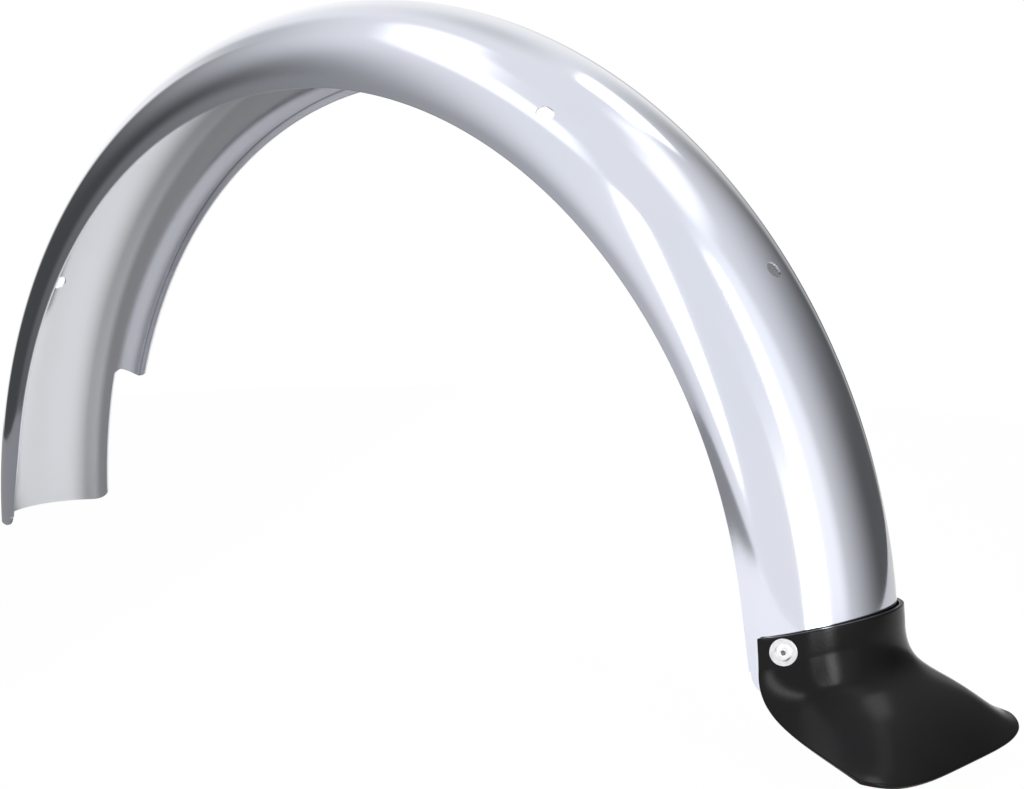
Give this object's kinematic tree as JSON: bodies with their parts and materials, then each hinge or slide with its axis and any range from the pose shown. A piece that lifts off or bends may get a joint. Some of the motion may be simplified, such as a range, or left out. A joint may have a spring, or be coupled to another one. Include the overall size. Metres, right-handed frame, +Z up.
{
  "type": "rear mudguard",
  "caption": "Arched rear mudguard for a light moped: pressed metal blade with folded skirt edges, crown holes, side slots, a frame notch and a riveted flared flap.",
  "frame": {"origin": "centre of the front crown hole, in the middle of the sheet", "axes": "+X to the rear of the vehicle, +Y to its right-hand side, +Z up; the wheel axle runs along Y through x 0.277, z -0.138"},
  "size_m": [0.6753, 0.1224, 0.3312],
  "materials": {
    "blade_paint": "silver metallic paint with a smooth gloss clear coat",
    "flap_plastic": "black moulded plastic, half gloss",
    "bright_washer": "bright pressed washer",
    "rivet_body": "bright domed blind rivet",
    "rivet_pin": "broken steel pin end, dull"
  },
  "bodies": {
    "root": {"mudguard_blade": "blade_paint", "mud_flap": "flap_plastic", "washer_left": "bright_washer", "washer_right": "bright_washer", "rivet_left": "rivet_body", "rivet_right": "rivet_body", "mandrel_left": "rivet_pin", "mandrel_right": "rivet_pin"}
  },
  "joints": []
}
